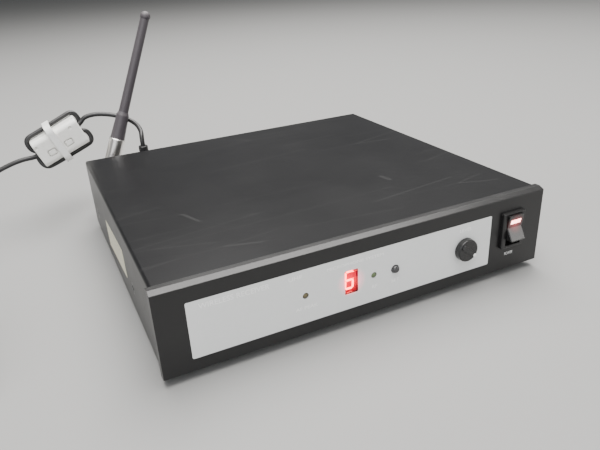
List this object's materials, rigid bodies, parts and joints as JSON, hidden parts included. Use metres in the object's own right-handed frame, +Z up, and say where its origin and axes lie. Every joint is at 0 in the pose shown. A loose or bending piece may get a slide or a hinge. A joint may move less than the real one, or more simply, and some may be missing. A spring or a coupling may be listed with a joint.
{
  "type": "wireless microphone receiver",
  "caption": "Half-rack wireless microphone receiver with a digit display, level knob, lit power rocker, swivelling rear whip antenna and a DC lead with a clamp-on ferrite.",
  "frame": {"origin": "on the standing surface, under the middle of the receiver's box without the cord (rocker lip to antenna elbow, panel edge to panel edge)", "axes": "+X right seen from the front, +Y to the rear, +Z up; the front panel faces -Y"},
  "size_m": [0.328, 0.2468, 0.1353],
  "materials": {
    "black_anodised": "satin black anodised",
    "black_paint": "satin black paint, fine grain",
    "zinc_steel": "zinc plated",
    "legend_print": "light grey print on film",
    "red_filter": "dark red filter",
    "paper": "cream paper label",
    "black_plastic": "matt black",
    "gloss_black": "gloss black",
    "lamp_red": "lit red",
    "lamp_green": "clear green lamp",
    "segment_red": "lit red segments",
    "black_screw": "black oxide",
    "rubber": "matt",
    "tin": "tinned",
    "board": "green solder mask",
    "chip": "matt",
    "can": "sleeve",
    "aluminium": "mill finish",
    "ribbon": "grey",
    "nickel": "nickel plated",
    "brass": "plated",
    "antenna_rubber": "satin moulded",
    "cord": "black cord jacket",
    "ivory": "ivory",
    "ferrite": "ceramic",
    "nylon": "white nylon"
  },
  "bodies": {
    "case": {"front_panel": "black_anodised", "legend_plate": "legend_print", "display_window": "red_filter", "top_cover": "black_paint", "bottom_chassis": "zinc_steel", "rear_panel": "black_paint", "cover_screws": "black_screw", "panel_screws": "zinc_steel", "rubber_feet": "rubber", "tact_switch": "black_plastic", "level_pot": "black_plastic", "switch_housing": "black_plastic", "switch_terminals": "tin", "digit_display": "black_plastic", "digit_segments": "segment_red", "af_led": "lamp_red", "rf_led": "lamp_green", "display_board": "board", "display_board_spacers": "black_plastic", "ribbon_cable": "ribbon", "main_board": "board", "board_standoffs": "brass", "board_screws": "zinc_steel", "board_chips": "chip", "capacitors": "can", "regulator": "chip", "heatsink": "aluminium", "rf_shield": "tin", "rf_shield_lid": "tin", "bnc_jack": "nickel", "bnc_nut": "nickel", "dc_jack": "black_plastic", "xlr_shell": "nickel", "xlr_insert": "black_plastic", "xlr_pins": "nickel", "phone_jack": "black_plastic", "phone_jack_nut": "nickel", "side_label": "paper", "dc_plug": "cord", "dc_plug_barrel": "nickel", "dc_cord": "cord", "cord_coil": "cord", "cord_tail": "cord", "coil_tie": "black_plastic", "ferrite_shell_front": "ivory", "ferrite_shell_back": "ivory", "ferrite_core": "ferrite", "ferrite_tie": "nylon", "adapter_case": "black_plastic", "adapter_prongs": "nickel"},
    "power_rocker": {"power_rocker": "gloss_black", "rocker_lens": "lamp_red"},
    "channel_button": {"channel_button": "gloss_black", "tact_plunger": "black_plastic"},
    "level_knob": {"level_knob": "black_plastic", "pot_shaft": "zinc_steel"},
    "antenna": {"antenna_elbow": "nickel", "antenna_cover": "antenna_rubber", "antenna_core": "brass"},
    "bnc_coupling": {"bnc_coupling": "nickel"}
  },
  "joints": [
    {"name": "power_rocker_tilt", "type": "hinge", "parent": "case", "child": "power_rocker", "pos_m": [0.0846, -0.10483, 0.0289], "axis": [1, 0, 0], "range_deg": [0, 24]},
    {"name": "channel_button_press", "type": "slide", "parent": "case", "child": "channel_button", "axis": [0, 1, 0], "range_m": [0, 0.0005], "stiffness_N_per_m": 600, "springref_m": -0.002},
    {"name": "level_knob_turn", "type": "hinge", "parent": "case", "child": "level_knob", "pos_m": [0.0537, -0.10695, 0.0243], "axis": [0, 1, 0], "range_deg": [-284, 16]},
    {"name": "antenna_swivel", "type": "hinge", "parent": "case", "child": "antenna", "pos_m": [-0.0895, 0.10605, 0.025], "axis": [0, 1, 0], "range_deg": [-112, 0]},
    {"name": "bnc_coupling_turn", "type": "hinge", "parent": "case", "child": "bnc_coupling", "pos_m": [-0.0895, 0.09305, 0.025], "axis": [0, 1, 0], "range_deg": [-90, 0]}
  ]
}
